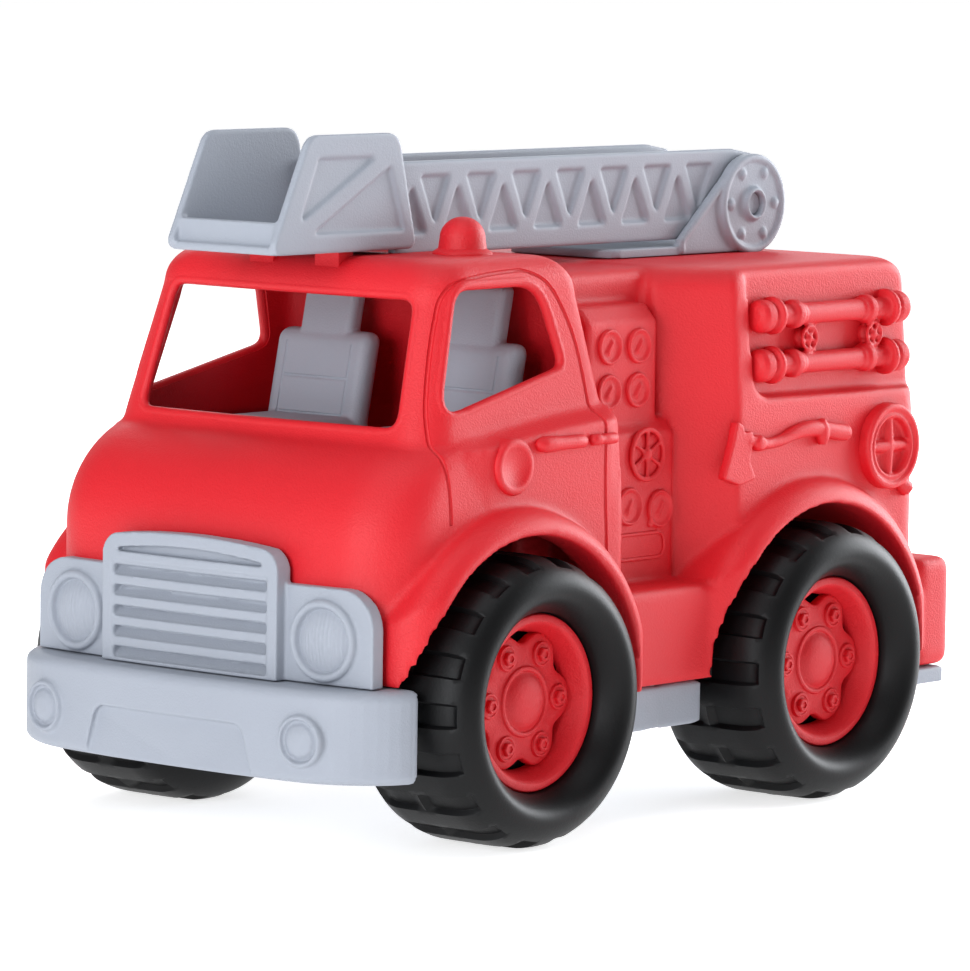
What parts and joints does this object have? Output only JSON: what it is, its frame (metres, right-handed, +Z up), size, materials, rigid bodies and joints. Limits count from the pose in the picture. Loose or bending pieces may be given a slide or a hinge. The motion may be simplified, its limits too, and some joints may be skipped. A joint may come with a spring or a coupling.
{
  "type": "toy fire engine",
  "caption": "Moulded toy fire engine with an open cab, turning wheels and a grey ladder with a rescue bucket that swivels and lifts on the rear box.",
  "frame": {"origin": "on the ground under the middle of the toy's length and width", "axes": "+X forward, +Y to the vehicle's left, +Z up"},
  "size_m": [0.267, 0.169, 0.197],
  "materials": {
    "red_plastic": "fine moulded texture, satin",
    "grey_plastic": "fine moulded texture, satin",
    "black_plastic": "satin",
    "steel": "plated"
  },
  "bodies": {
    "body": {"body_shell": "red_plastic", "roof_beacon_left": "red_plastic", "roof_beacon_right": "red_plastic", "front_bumper": "grey_plastic", "grille_panel": "grey_plastic", "chassis": "grey_plastic", "cab_floor": "grey_plastic", "left_seat": "grey_plastic", "right_seat": "grey_plastic", "left_step_screw": "steel", "right_step_screw": "steel", "left_tail_screw": "steel", "right_tail_screw": "steel", "left_floor_screw": "steel", "right_floor_screw": "steel"},
    "front_wheels": {"front_axle": "steel", "front_left_tyre": "black_plastic", "front_left_rim": "red_plastic", "front_right_tyre": "black_plastic", "front_right_rim": "red_plastic"},
    "rear_wheels": {"rear_axle": "steel", "rear_left_tyre": "black_plastic", "rear_left_rim": "red_plastic", "rear_right_tyre": "black_plastic", "rear_right_rim": "red_plastic"},
    "turntable": {"turntable": "grey_plastic", "turntable_washer": "steel", "turntable_screw": "steel"},
    "ladder": {"ladder": "grey_plastic", "ladder_pin": "grey_plastic", "rescue_bucket": "grey_plastic"}
  },
  "joints": [
    {"name": "front_wheels_spin", "type": "hinge", "parent": "body", "child": "front_wheels", "pos_m": [0.0645, 0, 0.041], "axis": [0, 1, 0], "continuous": true},
    {"name": "rear_wheels_spin", "type": "hinge", "parent": "body", "child": "rear_wheels", "pos_m": [-0.0675, 0, 0.041], "axis": [0, 1, 0], "continuous": true},
    {"name": "turntable_swivel", "type": "hinge", "parent": "body", "child": "turntable", "pos_m": [-0.059, 0, 0.1578], "axis": [0, 0, 1], "continuous": true},
    {"name": "ladder_lift", "type": "hinge", "parent": "turntable", "child": "ladder", "pos_m": [-0.0975, 0, 0.172], "axis": [0, -1, 0], "range_deg": [0, 60]}
  ]
}
